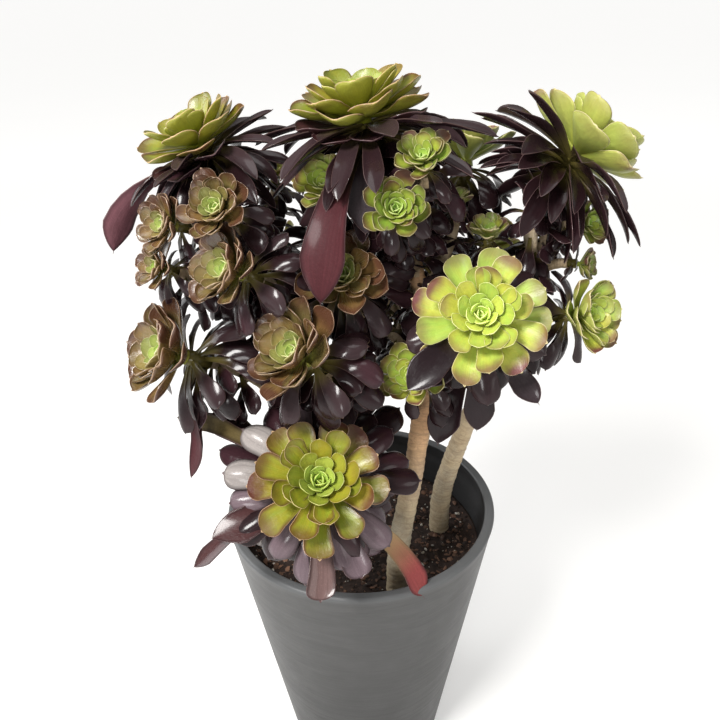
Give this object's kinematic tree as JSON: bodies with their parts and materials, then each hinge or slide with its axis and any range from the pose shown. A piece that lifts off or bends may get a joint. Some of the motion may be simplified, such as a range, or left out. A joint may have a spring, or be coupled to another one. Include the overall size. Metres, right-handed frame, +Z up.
{
  "type": "potted aeonium",
  "caption": "Branching succulent with woody stems that end in rosettes of glossy leaves, green at the heart and near black below, growing in a tapered round nursery pot.",
  "frame": {"origin": "centre of the pot's flat underside, on the surface that the pot stands on", "axes": "+Z up along the pot's axis, -Y towards the side where the large front rosette hangs over the rim, +X to the right of it"},
  "size_m": [0.3472, 0.2614, 0.5609],
  "materials": {
    "pot": "satin",
    "soil": "matte",
    "bark": "matte",
    "leaf_lime": "satin",
    "leaf_olive": "satin",
    "leaf_bronze": "satin",
    "leaf_dark": "gloss"
  },
  "bodies": {
    "root": {"pot": "pot", "stem_right": "bark", "stem_centre": "bark", "stem_left": "bark", "soil": "soil", "front_head": "leaf_olive", "front_skirt": "leaf_dark", "right_head": "leaf_lime", "right_skirt": "leaf_dark", "crown_head": "leaf_olive", "crown_skirt": "leaf_dark", "crown_left_head": "leaf_olive", "crown_left_skirt": "leaf_dark", "crown_right_head": "leaf_lime", "crown_right_skirt": "leaf_dark", "low_left_head": "leaf_bronze", "low_left_skirt": "leaf_dark", "centre_left_head": "leaf_bronze", "centre_left_skirt": "leaf_dark", "centre_head": "leaf_olive", "centre_skirt": "leaf_dark", "mid_left_head": "leaf_bronze", "mid_left_skirt": "leaf_dark", "upper_left_head": "leaf_bronze", "upper_left_skirt": "leaf_dark", "side_right_head": "leaf_lime", "side_right_skirt": "leaf_dark", "far_right_head": "leaf_lime", "far_right_skirt": "leaf_dark", "inner_left_head": "leaf_lime", "inner_left_skirt": "leaf_dark", "inner_centre_head": "leaf_lime", "inner_centre_skirt": "leaf_dark", "inner_right_head": "leaf_lime", "inner_right_skirt": "leaf_dark", "low_centre_head": "leaf_lime", "low_centre_skirt": "leaf_dark", "edge_upper_head": "leaf_bronze", "edge_upper_skirt": "leaf_dark", "edge_lower_head": "leaf_bronze", "edge_lower_skirt": "leaf_dark", "shaded_right_head": "leaf_lime", "shaded_right_skirt": "leaf_dark", "side_upper_head": "leaf_lime", "side_upper_skirt": "leaf_dark", "side_middle_head": "leaf_lime", "side_middle_skirt": "leaf_dark", "shaded_centre_head": "leaf_lime", "shaded_centre_skirt": "leaf_dark", "shaded_left_head": "leaf_olive", "shaded_left_skirt": "leaf_dark", "back_left_head": "leaf_olive", "back_left_skirt": "leaf_dark", "back_middle_head": "leaf_lime", "back_middle_skirt": "leaf_dark", "back_right_head": "leaf_olive", "back_right_skirt": "leaf_dark"}
  },
  "joints": []
}
